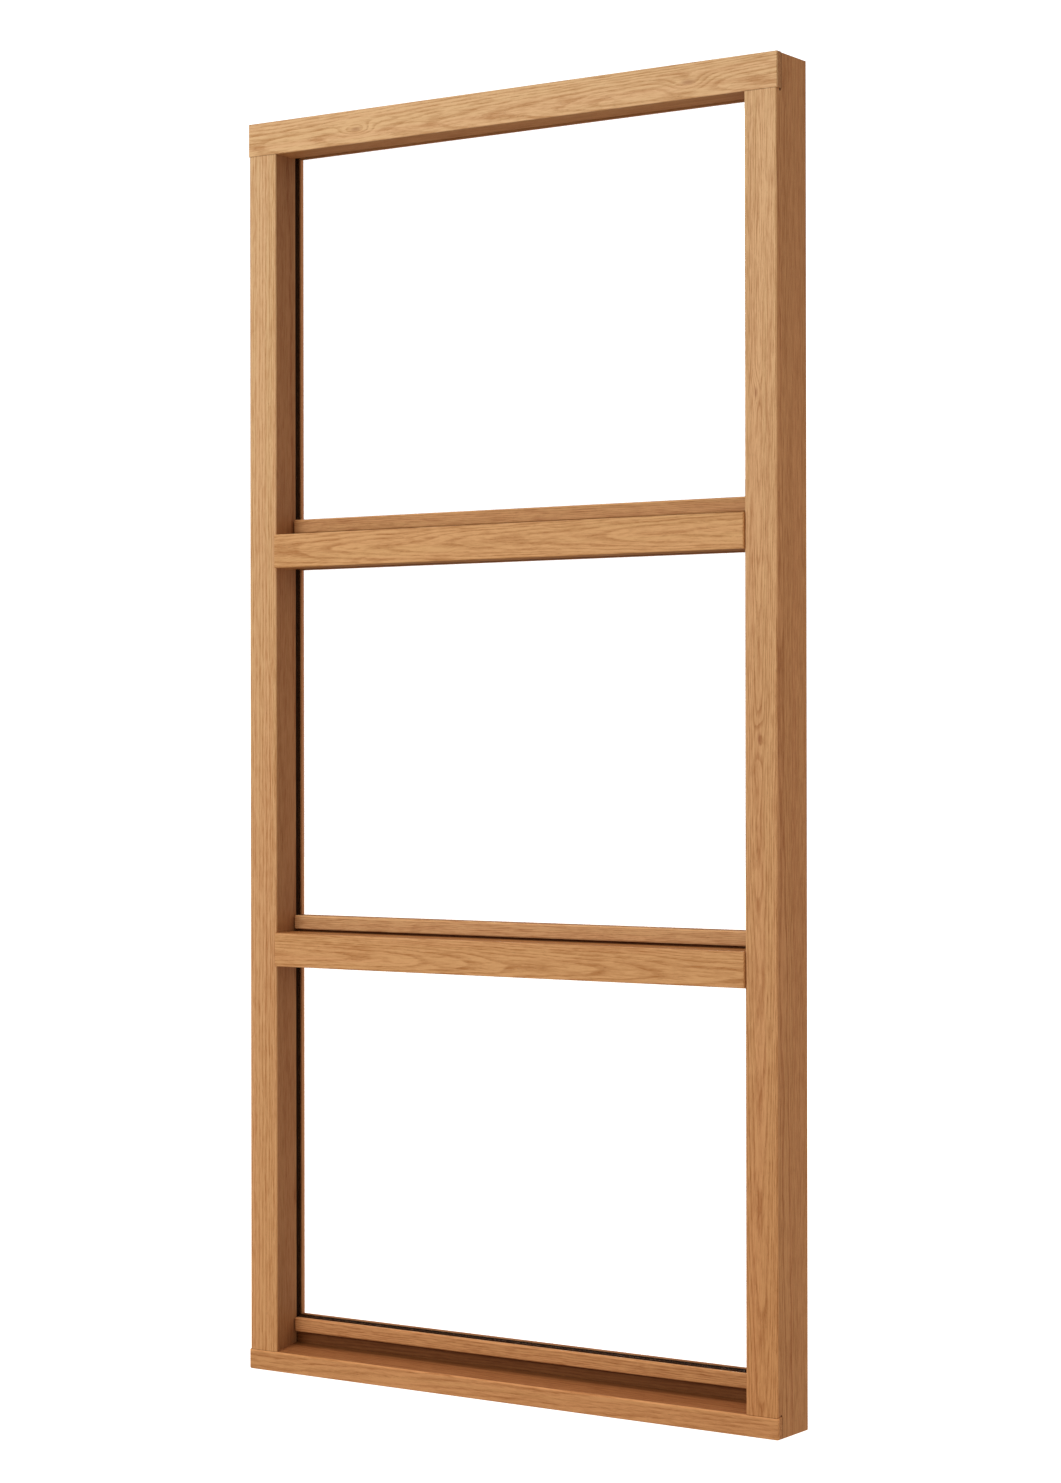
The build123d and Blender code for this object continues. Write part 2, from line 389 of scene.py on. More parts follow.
def growth_group() -> bpy.types.NodeTree:
    """Growth rings of a board, as a mask that is 1 in the dark early wood of each ring.

    The rings are circles about a pith line that runs along the board and climbs slowly
    through it, so a flat face cuts them in long arches. A ring's place is the distance to
    the pith, bent by slow noise, over the ring's width; the early wood starts sharply and
    fades over the rest of the ring.

    Returns:
        The group.
    """
    tree, wire, come, go = open_group(
        "Oak growth rings",
        {
            "Vector": None, "Ring Width": 0.004, "Pith Depth": 0.06, "Pith Across": 0.0,
            "Pith Slope": 0.03, "Waviness": 0.01, "Swirl": 0.0,
        },
        {"Early Wood": "Float", "Band": "Float"},
    )
    place = come.outputs["Vector"]
    slow = wire.vector("MULTIPLY", place, BEND_WAVES)
    bend = wire.noise(slow, 1.0, 2.0, "Color")
    bend = wire.vector("SUBTRACT", bend, (NOISE_MIDDLE,) * 3)
    ripple_place = wire.vector("MULTIPLY", place, RIPPLE_WAVES)
    ripple = wire.math("SUBTRACT", wire.noise(ripple_place, 1.0, 2.0), NOISE_MIDDLE)
    along, depth, across = wire.split(place)
    _, bend_depth, bend_across = wire.split(bend)
    waviness = come.outputs["Waviness"]
    climb = wire.math("MULTIPLY", along, come.outputs["Pith Slope"])
    reach = wire.math("ADD", wire.math("SUBTRACT", depth, come.outputs["Pith Depth"]), climb)
    reach = wire.math("MULTIPLY_ADD", bend_depth, waviness, reach)
    aside = wire.math("SUBTRACT", across, come.outputs["Pith Across"])
    aside = wire.math("MULTIPLY_ADD", bend_across, waviness, aside)
    radius = wire.vector("LENGTH", wire.join(0.0, reach, aside))
    ripples = wire.math("MULTIPLY", waviness, RIPPLE_SHARE)
    radius = wire.math("MULTIPLY_ADD", ripple, ripples, radius)
    ring = wire.math("DIVIDE", radius, come.outputs["Ring Width"])
    outwards = wire.join(wire.math("MULTIPLY", radius, UNEVEN_WAVES), 0.0, 0.0)
    ring = wire.math("MULTIPLY_ADD", wire.noise(outwards, 1.0, 2.0), UNEVEN_RINGS, ring)
    ring = wire.math("ADD", ring, come.outputs["Swirl"])
    part = wire.math("FRACT", ring)
    rise = wire.ramp(part, *RING_ONSET)
    fall = wire.ramp(part, *RING_FADE, 1.0, 0.0)
    wire.feed(go.inputs["Early Wood"], wire.math("MULTIPLY", rise, fall))
    slow_ring = wire.join(wire.math("MULTIPLY", ring, BAND_WAVES), 0.0, 0.0)
    wire.feed(go.inputs["Band"], wire.noise(slow_ring, 1.0, 1.0))
    return tree


def fibre_group() -> bpy.types.NodeTree:
    """Fibres and pores of oak, from noise drawn out along the grain.

    Streak, Thread and Fine are three sizes of noise, each far longer than it is wide and bent
    a little by slow noise. Pores are short dark dashes where a finer noise is at its lowest.
    Tone and Hue change slowly over the board.

    Returns:
        The group.
    """
    tree, wire, come, go = open_group(
        "Oak fibres",
        {"Vector": None, "Streak Length": 0.075, "Streak Width": 0.0042, "Wander": 0.006},
        {
            "Streak": "Float", "Thread": "Float", "Fine": "Float", "Pores": "Float",
            "Tone": "Float", "Hue": "Float",
        },
    )
    place = come.outputs["Vector"]
    slow = wire.vector("MULTIPLY", place, WANDER_WAVES)
    bend = wire.noise(slow, 1.0, 1.0, "Color")
    bend = wire.vector("SUBTRACT", bend, (NOISE_MIDDLE,) * 3)
    wander = come.outputs["Wander"]
    bent = wire.vector(
        "ADD", place, wire.vector("MULTIPLY", bend, wire.join(0.0, wander, wander))
    )
    length, width = come.outputs["Streak Length"], come.outputs["Streak Width"]
    drawn = wire.vector("DIVIDE", bent, wire.join(length, width, width))
    wire.feed(go.inputs["Streak"], wire.noise(drawn, 1.0, 1.0, roughness=0.5))
    thread = wire.vector("MULTIPLY", bent, THREAD_WAVES)
    wire.feed(go.inputs["Thread"], wire.noise(thread, 1.0, 1.0, roughness=0.5))
    fine = wire.vector("MULTIPLY", bent, FINE_WAVES)
    wire.feed(go.inputs["Fine"], wire.noise(fine, 1.0, 2.0, roughness=0.6))
    dashes = wire.vector("MULTIPLY", bent, PORE_WAVES)
    wire.feed(go.inputs["Pores"], wire.ramp(wire.noise(dashes, 1.0, 0.0), *PORE_SPAN))
    broad = wire.vector("MULTIPLY", bent, TONE_WAVES)
    wire.feed(go.inputs["Tone"], wire.noise(broad, 1.0, 2.0))
    warm = wire.vector("MULTIPLY", bent, HUE_WAVES)
    wire.feed(go.inputs["Hue"], wire.noise(warm, 1.0, 1.0))
    return tree


def knot_group() -> bpy.types.NodeTree:
    """A knot: rings bulge round it, and its core is dark.

    The distance is counted in knot sizes, and longer along the grain. Swirl is a bell curve
    of that distance, and Core a smooth step close to the middle.

    Returns:
        The group.
    """
    tree, wire, come, go = open_group(
        "Oak knot",
        {"Vector": None, "Centre": None, "Size": 0.01, "Bulge": 3.0},
        {"Swirl": "Float", "Core": "Float"},
    )
    away = wire.vector("SUBTRACT", come.outputs["Vector"], come.outputs["Centre"])
    size = come.outputs["Size"]
    long, deep = (wire.math("MULTIPLY", size, share) for share in (KNOT_LONG, KNOT_DEEP))
    steps = wire.vector("LENGTH", wire.vector("DIVIDE", away, wire.join(long, deep, size)))
    fall = wire.math("MULTIPLY", wire.math("POWER", steps, 2.0), -1.0)
    bell = wire.math("POWER", math.e, fall)
    wire.feed(go.inputs["Swirl"], wire.math("MULTIPLY", bell, come.outputs["Bulge"]))
    wire.feed(go.inputs["Core"], wire.ramp(steps, *KNOT_CORE))
    return tree


def tone_and_shade_group() -> bpy.types.NodeTree:
    """A board's tone, painted shade and painted highlight, as a colour that multiplies its own.

    Outdoor faces keep the wood's colour at the head of the window and turn darker and warmer
    towards its foot. A few millimetres behind the outdoor face there is painted shade: one
    tint on the window's outer sides, top and underside, another in the recesses outside the
    panes, both darker by the head; the indoor side takes a lighter tint of its own. The throat
    under a weather bead is darkest, in painted shade, and the crest of an outdoor face is
    lightest, a painted highlight. The ends of a lip are End Gain times as light. Y counts from
    the outdoor face inwards.

    Returns:
        The group.
    """
    tree, wire, come, go = open_group(
        "Oak tone and painted shade",
        {
            "Vector": None, "Front": -0.047, "Head Z": 2.0, "Throat": 0.0,
            "Half Width": 0.51, "Foot Tint": PLAIN, "Side Tint": PLAIN, "Deep Tint": PLAIN,
            "Throat Tint": PLAIN, "Indoor Tint": PLAIN, "Crest Z": NEVER_Z,
            "Crest Gain": 1.0, "End Gain": 1.0,
        },
        {"Tint": "Color"},
    )
    tone_and_shade = {socket.name: socket for socket in come.outputs}
    across, inwards, height = wire.split(tone_and_shade["Vector"])
    foot = wire.math("DIVIDE", height, tone_and_shade["Head Z"])
    foot = wire.math("SUBTRACT", 1.0, foot, clamp=True)
    tint = wire.blend(foot, PLAIN, tone_and_shade["Foot Tint"])
    below = wire.math("SUBTRACT", tone_and_shade["Crest Z"], height)
    # A painted highlight down from the crest
    tint = wire.scale(tint, wire.ramp(below, *CREST_HIGHLIGHT, tone_and_shade["Crest Gain"], 1.0))
    behind = wire.math("SUBTRACT", inwards, tone_and_shade["Front"])
    aside = wire.math("SUBTRACT", wire.math("ABSOLUTE", across), tone_and_shade["Half Width"])
    over = wire.math("SUBTRACT", height, tone_and_shade["Head Z"])
    outer = wire.ramp(aside, *OUTER_SIDE)
    for measure, span in ((over, TOP), (height, FOOT), (inwards, REAR)):
        outer = wire.math("MAXIMUM", outer, wire.ramp(measure, *span))
    # Painted shade behind the outdoor face: the side tint on the outer sides, top, underside and
    # rear, the recess tint in the recesses
    deep = wire.blend(outer, tone_and_shade["Deep Tint"], tone_and_shade["Side Tint"])
    # Painted shade that deepens towards the head
    deep = wire.scale(deep, wire.ramp(height, *CROWN, 1.0, CROWN_SHADE_GAIN))
    deep = wire.blend(wire.ramp(inwards, *INDOORS), deep, tone_and_shade["Indoor Tint"])
    tint = wire.blend(wire.ramp(behind, *SKIN), tint, deep)
    tint = wire.scale(tint, wire.ramp(aside, *LIP_END, 1.0, tone_and_shade["End Gain"]))
    # Painted shade in the throat under a weather bead
    near = wire.ramp(inwards, *THROAT_MOUTH)
    far = wire.ramp(inwards, *THROAT_REAR, 1.0, 0.0)
    throat = wire.math("MULTIPLY", wire.math("MULTIPLY", near, far), tone_and_shade["Throat"])
    dark = wire.blend(1.0, tint, tone_and_shade["Throat Tint"], "MULTIPLY")
    wire.feed(go.inputs["Tint"], wire.blend(throat, tint, dark))
    return tree


def joint_group() -> bpy.types.NodeTree:
    """The dark line where a jamb meets a rail's lip, part seam and part painted shadow of the
    lip, as a mask.

    On the jamb's outdoor face the line is level, right beside the lip; on the outer side it
    stands upright, right behind the lip, as painted shadow of the lip's proud end, and ends in a
    small painted shadow dot at the lip's corner.
    Way is 1 for the sill's lip and -1 for the head's.

    Returns:
        The group.
    """
    tree, wire, come, go = open_group(
        "Oak joint",
        {
            "Vector": None, "Front": -0.047, "Half Width": 0.51, "Joint Y": -0.036,
            "Joint Z": 0.033, "Way": 1.0,
        },
        {"Shade": "Float"},
    )
    joint = {socket.name: socket for socket in come.outputs}
    across, inwards, height = wire.split(joint["Vector"])
    clear = wire.math("SUBTRACT", height, joint["Joint Z"])
    clear = wire.math("MULTIPLY", clear, joint["Way"])
    line = wire.math("MULTIPLY", wire.ramp(clear, *LINE_FADE, LINE_SHADE, 0.0),
                     wire.ramp(clear, *LINE_EDGE))
    behind = wire.math("SUBTRACT", inwards, joint["Front"])
    level = wire.math("MULTIPLY", line, wire.ramp(behind, *SKIN, 1.0, 0.0))
    # Upright line behind the lip's end: painted shadow of the proud lip, with a dark seam
    inward = wire.math("SUBTRACT", inwards, joint["Joint Y"])
    line = wire.math("MULTIPLY", wire.ramp(inward, *UPRIGHT_FADE, UPRIGHT_SHADE, 0.0),
                     wire.ramp(inward, *UPRIGHT_EDGE))
    line = wire.math("MULTIPLY", line, wire.ramp(clear, *UPRIGHT_END, 1.0, 0.0))
    # A small painted shadow dot at the lip's corner
    beyond = wire.math("SUBTRACT", clear, SHADOW_DOT_BEYOND)
    from_shadow_dot = wire.vector("LENGTH", wire.join(inward, beyond, 0.0))
    line = wire.math("MAXIMUM", line, wire.ramp(from_shadow_dot, *SHADOW_DOT_SPAN, 1.0, 0.0))
    aside = wire.math("SUBTRACT", wire.math("ABSOLUTE", across), joint["Half Width"])
    upright = wire.math("MULTIPLY", line, wire.ramp(aside, *OUTER_SIDE))
    wire.feed(go.inputs["Shade"], wire.math("MAXIMUM", level, upright))
    return tree


def oiled_group() -> bpy.types.NodeTree:
    """Colour, gloss and relief of oiled oak from its rings, fibres and knots.

    The light wood is mixed towards the dark one by the rings and streaks, leans to red or
    yellow by its hue, is darkened in the pores and knots, takes the tint of its tone and painted
    shade, and darkens along a joint's seam and painted shadow.
    Pores are dull and sunk.

    Returns:
        The group.
    """
    tree, wire, come, go = open_group(
        "Oiled oak",
        {
            "Early Wood": 0.0, "Band": 0.5, "Streak": 0.5, "Thread": 0.5, "Fine": 0.5,
            "Pores": 0.0, "Tone": 0.5, "Hue": 0.5, "Knot": 0.0, "Figure": 0.5,
            "Light": (0.6, 0.4, 0.2), "Dark": (0.4, 0.2, 0.1), "Age": PLAIN, "Joint": 0.0,
        },
        {"Color": "Color", "Roughness": "Float", "Height": "Float"},
    )
    wood = {socket.name: socket for socket in come.outputs}
    streak = wire.ramp(wood["Streak"], *STREAK_SPAN)
    rings = wire.math("MULTIPLY", wood["Early Wood"], wood["Figure"])
    depth = wire.math(
        "MULTIPLY_ADD", streak, STREAK_SHARE, wire.math("MULTIPLY", rings, RING_SHARE)
    )
    for part, share in SHARES:
        swing = wire.math("SUBTRACT", wood[part], NOISE_MIDDLE)
        depth = wire.math("MULTIPLY_ADD", swing, share, depth, clamp=part == "Fine")
    colour = wire.blend(depth, wood["Light"], wood["Dark"])
    lean = wire.blend(wire.ramp(wood["Hue"], *HUE_SPAN), YELLOW_LEAN, RED_LEAN)
    colour = wire.blend(1.0, colour, lean, "MULTIPLY")
    pored = wire.math(
        "MULTIPLY", wood["Pores"], wire.math("ADD", rings, PORE_REST), clamp=True
    )
    colour = wire.blend(wire.math("MULTIPLY", pored, PORE_SHARE), colour, PORE_COLOUR)
    knotted = wire.math("MULTIPLY", wood["Knot"], KNOT_SHARE)
    colour = wire.blend(knotted, colour, KNOT_COLOUR)
    colour = wire.blend(1.0, colour, wood["Age"], "MULTIPLY")
    # Darkened along the joint: a dark seam with painted shadow
    shaded = wire.blend(1.0, colour, JOINT_SEAM_AND_SHADOW_TINT, "MULTIPLY")
    colour = wire.blend(wood["Joint"], colour, shaded)
    wire.feed(go.inputs["Color"], colour)
    gloss = wire.math("MULTIPLY_ADD", wood["Streak"], STREAK_GLOSS, GLOSS)
    gloss = wire.math("MULTIPLY_ADD", pored, PORE_GLOSS, gloss)
    wire.feed(go.inputs["Roughness"], gloss)
    streaked = wire.math("MULTIPLY", streak, STREAK_RELIEF)
    relief = wire.math("MULTIPLY_ADD", wood["Fine"], FINE_RELIEF, streaked)
    relief = wire.math("MULTIPLY_ADD", pored, -1.0, relief)
    wire.feed(go.inputs["Height"], relief)
    return tree


GROWTH = growth_group()
FIBRES = fibre_group()
KNOT = knot_group()
TONE_AND_SHADE = tone_and_shade_group()
JOINT = joint_group()
OILED = oiled_group()


def new_material(name: str) -> tuple[bpy.types.Material, Wiring, bpy.types.Node]:
    """Make an empty material with its Principled shader.

    Args:
        name: the material's name.

    Returns:
        The material, the wiring of its tree, and the shader.
    """
    material = bpy.data.materials.new(name)
    material.use_nodes = True
    material.node_tree.nodes.clear()
    wire = Wiring(material.node_tree)
    shader = wire.add("ShaderNodeBsdfPrincipled")
    output = wire.add("ShaderNodeOutputMaterial")
    wire.feed(output.inputs["Surface"], shader.outputs["BSDF"])
    return material, wire, shader


def add_relief(wire: Wiring, shader: bpy.types.Node, height: bpy.types.NodeSocket,
               strength: float, depth: float) -> None:
    """Give a shader relief from heights.

    Args:
        wire: the wiring of the material's tree.
        shader: the Principled shader.
        height: the heights' socket.
        strength: how strongly they show.
        depth: what a height of 1 stands for.
    """
    bump = wire.add("ShaderNodeBump")
    bump.inputs["Strength"].default_value = strength
    bump.inputs["Distance"].default_value = depth
    wire.feed(bump.inputs["Height"], height)
    wire.feed(shader.inputs["Normal"], bump.outputs["Normal"])


def dress(piece: bpy.types.Object, material: bpy.types.Material) -> None:
    """Give a piece one material all over.

    Args:
        piece: the piece or carried-over node.
        material: its finish.
    """
    piece.data.materials.clear()
    piece.data.materials.append(material)
    LOG.info("%s: %s, %d faces", piece.name, material.name, len(piece.data.polygons))


@dataclass(frozen=True)
class Knot:
    """A knot in a board: its place on the board's face, and its size across the grain."""

    x: float
    z: float
    size: float
    bulge: float = 3.0


@dataclass(frozen=True)
class Joint:
    """Where a jamb meets a rail's lip: the lip's back, its edge, and which way the jamb runs."""

    y: float
    z: float
    way: float


@dataclass(frozen=True)
class Oak:
    """One oiled oak board: how it was sawn, its colours, and its tints of tone, painted shade and
    painted highlight.

    The pith's depth, offset and slope say how the saw met the rings, and figure says how
    strongly they show. The tints multiply the colour: on the outdoor face towards the foot;
    behind that face, as painted shade on the outer sides and in the recesses; on the indoor
    side; and in the throat under a weather bead, as painted shade, as far as throat says. Above
    about crest_z the colour gains by the crest's gain, a painted highlight, and on the ends of
    a lip by end_gain.
    """

    name: str
    grain: Grain
    light: Colour = shade(229, 193, 147)
    dark: Colour = shade(189, 138, 89)
    ring: float = 0.0045
    pith_depth: float = 0.07
    pith_across: float = 0.0
    slope: float = 0.03
    waviness: float = 0.008
    figure: float = 0.5
    foot_tint: Colour = (0.98, 0.78, 0.65)
    # Painted shade: on the outer sides, top and underside, in the recesses, and in the throat
    # under a weather bead
    side_shade_tint: Colour = (0.75, 0.59, 0.51)
    recess_shade_tint: Colour = (0.725, 0.53, 0.39)
    throat_shade_tint: Colour = (0.42, 0.33, 0.27)
    indoor_tint: Colour = (0.86, 0.78, 0.76)
    front: float = -47.0 * MM
    throat: float = 0.0
    # A painted highlight along the crest
    crest_z: float = NEVER_Z
    crest_highlight_gain: float = 1.0
    end_gain: float = 1.0
    relief: float = 0.35
    relief_depth: float = 0.2 * MM
    specular: float = 0.15
    joints: tuple[Joint, ...] = ()
    knots: tuple[Knot, ...] = ()

    def turn(self) -> Euler:
        """The turn that lays the board's fibres along X."""
        return Euler((0.0, math.pi / 2 if self.grain is Grain.UPRIGHT else 0.0, 0.0))

    def material(self) -> bpy.types.Material:
        """Wire the board's material from the oak groups.

        Returns:
            The material.
        """
        material, wire, shader = new_material(self.name)
        place = wire.add("ShaderNodeTexCoord").outputs["Object"]
        mapping = wire.add("ShaderNodeMapping", vector_type="POINT")
        wire.feed(mapping.inputs["Vector"], place)
        mapping.inputs["Rotation"].default_value = self.turn()
        board = mapping.outputs["Vector"]
        swirl: Value = 0.0
        core: Value = 0.0
        for knot in self.knots:
            centre = Vector((knot.x, CAD_BOX[0].y, knot.z))
            centre.rotate(self.turn())
            node = wire.group(KNOT, Vector=board, Size=knot.size, Bulge=knot.bulge)
            node.inputs["Centre"].default_value = centre
            swirl = wire.math("ADD", swirl, node.outputs["Swirl"])
            core = wire.math("ADD", core, node.outputs["Core"], clamp=True)
        rings = wire.group(
            GROWTH, Vector=board, Ring_Width=self.ring, Pith_Depth=self.pith_depth,
            Pith_Across=self.pith_across, Pith_Slope=self.slope, Waviness=self.waviness,
            Swirl=swirl,
        )
        fibres = wire.group(FIBRES, Vector=board)
        tone_and_shade = wire.group(
            TONE_AND_SHADE, Vector=place, Front=self.front, Head_Z=CAD_BOX[1].z, Throat=self.throat,
            Half_Width=CAD_BOX[1].x, Foot_Tint=self.foot_tint, Side_Tint=self.side_shade_tint,
            Deep_Tint=self.recess_shade_tint, Throat_Tint=self.throat_shade_tint,
            Indoor_Tint=self.indoor_tint, Crest_Z=self.crest_z, Crest_Gain=self.crest_highlight_gain,
            End_Gain=self.end_gain,
        )
        shaded: Value = 0.0
        for joint in self.joints:
            node = wire.group(
                JOINT, Vector=place, Front=self.front, Half_Width=CAD_BOX[1].x,
                Joint_Y=joint.y, Joint_Z=joint.z, Way=joint.way,
            )
            shaded = wire.math("ADD", shaded, node.outputs["Shade"], clamp=True)
        oiled = wire.group(
            OILED, Knot=core, Joint=shaded, Figure=self.figure, Light=self.light, Dark=self.dark,
            Age=tone_and_shade.outputs["Tint"],
        )
        for source in (rings, fibres):
            for socket in source.outputs:
                wire.feed(oiled.inputs[socket.name], socket)
        wire.feed(shader.inputs["Base Color"], oiled.outputs["Color"])
        wire.feed(shader.inputs["Roughness"], oiled.outputs["Roughness"])
        add_relief(wire, shader, oiled.outputs["Height"], self.relief, self.relief_depth)
        shader.inputs["Specular IOR Level"].default_value = self.specular
        return material


@dataclass(frozen=True)
class Moulded:
    """Black rubber or plastic: a plain colour with a faint bloom and a fine skin."""

    name: str
    colour: Colour
    bloom: Colour
    roughness: float
    bloom_waves: float = 35.0
    bloom_span: Span = (0.4, 0.75)
    bloom_gloss: float = 0.12
    skin_waves: float = 1800.0
    skin_relief: float = 0.2
    skin_depth: float = 0.1 * MM
    specular: float = 0.04

    def material(self) -> bpy.types.Material:
        """Wire the material: slow noise for the bloom, fine noise for the skin.

        Returns:
            The material.
        """
        material, wire, shader = new_material(self.name)
        place = wire.add("ShaderNodeTexCoord").outputs["Object"]
        bloom = wire.ramp(wire.noise(place, self.bloom_waves, 3.0), *self.bloom_span)
        wire.feed(shader.inputs["Base Color"], wire.blend(bloom, self.colour, self.bloom))
        dull = wire.math("MULTIPLY_ADD", bloom, self.bloom_gloss, self.roughness)
        wire.feed(shader.inputs["Roughness"], dull)
        skin = wire.noise(place, self.skin_waves, 2.0)
        add_relief(wire, shader, skin, self.skin_relief, self.skin_depth)
        shader.inputs["Specular IOR Level"].default_value = self.specular
        return material


@dataclass(frozen=True)
class ClearGlass:
    """Clear float glass, with the faintest dusting on its surface."""

    name: str = "clear_glass"
    index: float = 1.5
    dust_waves: float = 9.0
    dust_span: Span = (0.55, 0.8)
    dust_roughness: float = 0.006

    def material(self) -> bpy.types.Material:
        """Wire the material: full transmission, with roughness that hardly varies.

        Returns:
            The material.
        """
        material, wire, shader = new_material(self.name)
        place = wire.add("ShaderNodeTexCoord").outputs["Object"]
        dust = wire.noise(place, self.dust_waves, 4.0)
        dust = wire.ramp(dust, *self.dust_span, 0.0, self.dust_roughness)
        wire.feed(shader.inputs["Roughness"], dust)
        shader.inputs["Base Color"].default_value = (1.0, 1.0, 1.0, 1.0)
        shader.inputs["Metallic"].default_value = 0.0
        shader.inputs["Transmission Weight"].default_value = 1.0
        shader.inputs["IOR"].default_value = self.index
        return material


def new_piece(name: str, vertices: np.ndarray, faces: np.ndarray,
              smooth_below: float = 35.0) -> bpy.types.Object:
    """Make a mesh object of computed vertices and faces, with its faces turned outwards.

    Args:
        name: the piece's name.
        vertices: an (n, 3) array of places.
        faces: an (m, 4) array of vertex numbers, all turned the same way.
        smooth_below: edges whose faces meet at less than this many degrees look smooth.

    Returns:
        The object, at the origin. Its volume, the sum over its faces of corner times face
        normal, tells whether the faces point outwards, and they are turned if it is negative.
    """
    a, b, c, d = (vertices[faces[:, corner]] for corner in range(4))
    volume = np.einsum("ij,ij->", a, np.cross(c - a, d - b))
    if volume < 0:
        faces = faces[:, ::-1]
    mesh = bpy.data.meshes.new(name)
    mesh.from_pydata(vertices.tolist(), [], faces.tolist())
    mesh.polygons.foreach_set("use_smooth", np.ones(len(faces), bool))
    mesh.set_sharp_from_angle(angle=math.radians(smooth_below))
    piece = bpy.data.objects.new(name, mesh)
    bpy.context.scene.collection.objects.link(piece)
    return piece


def grid_faces(rows: int, columns: int) -> np.ndarray:
    """Number the faces of a grid of vertices that closes on itself both ways.

    Args:
        rows, columns: how many vertices it has each way.

    Returns:
        An (n, 4) array of vertex numbers.
    """
    row, column = np.meshgrid(np.arange(rows), np.arange(columns), indexing="ij")
    after, beside = (row + 1) % rows, (column + 1) % columns
    corners = (row * columns + column, row * columns + beside,
               after * columns + beside, after * columns + column)
    return np.stack(corners, -1).reshape(-1, 4)


def mitred_loop(profile: np.ndarray, low: Vector, high: Vector,
                shy: float) -> tuple[np.ndarray, np.ndarray]:
    """Carry a closed profile round an upright rectangle, mitred at its corners.

    A profile point (inset, depth) lies at the corner moved inwards by the inset along both X
    and Z, at Y low plus depth. The four corners' copies of the profile make the grid. Along
    the top the insets are smaller by the share that shy takes from them.

    Args:
        profile: an (n, 2) array of insets and depths.
        low, high: the corners of the box whose outer edge the loop follows.
        shy: how much narrower the top is, as a share of its width.

    Returns:
        Vertices and faces.
    """
    corner_x = np.array([low.x, high.x, high.x, low.x])[:, None]
    corner_z = np.array([low.z, low.z, high.z, high.z])[:, None]
    inward_x = np.array([1, -1, -1, 1])[:, None]
    inward_z = np.array([1, 1, shy - 1, shy - 1])[:, None]
    inset, depth = profile[:, 0][None, :], profile[:, 1][None, :]
    x = corner_x + inward_x * inset
    z = corner_z + inward_z * inset
    y = np.broadcast_to(low.y + depth, x.shape)
    vertices = np.stack((x, y, z), -1).reshape(-1, 3)
    return vertices, grid_faces(4, len(profile))


def rounded_nose(width: float, thickness: float, round_by: float, points: int = 7) -> np.ndarray:
    """Outline of a strip whose inner edge is rounded: an ellipse's half on a flat bar.

    Args:
        width: from the outer edge to the tip of the nose.
        thickness: from front to back.
        round_by: how much of the width the nose takes.
        points: points along the nose.

    Returns:
        An (n, 2) array of insets and depths: back, nose, front.
    """
    turn = np.linspace(math.pi / 2, -math.pi / 2, points)
    inset = width - round_by + round_by * np.cos(turn)
    depth = thickness / 2 + thickness / 2 * np.sin(turn)
    nose = np.stack((inset, depth), -1)
    return np.vstack(([0.0, thickness], nose, [0.0, 0.0]))


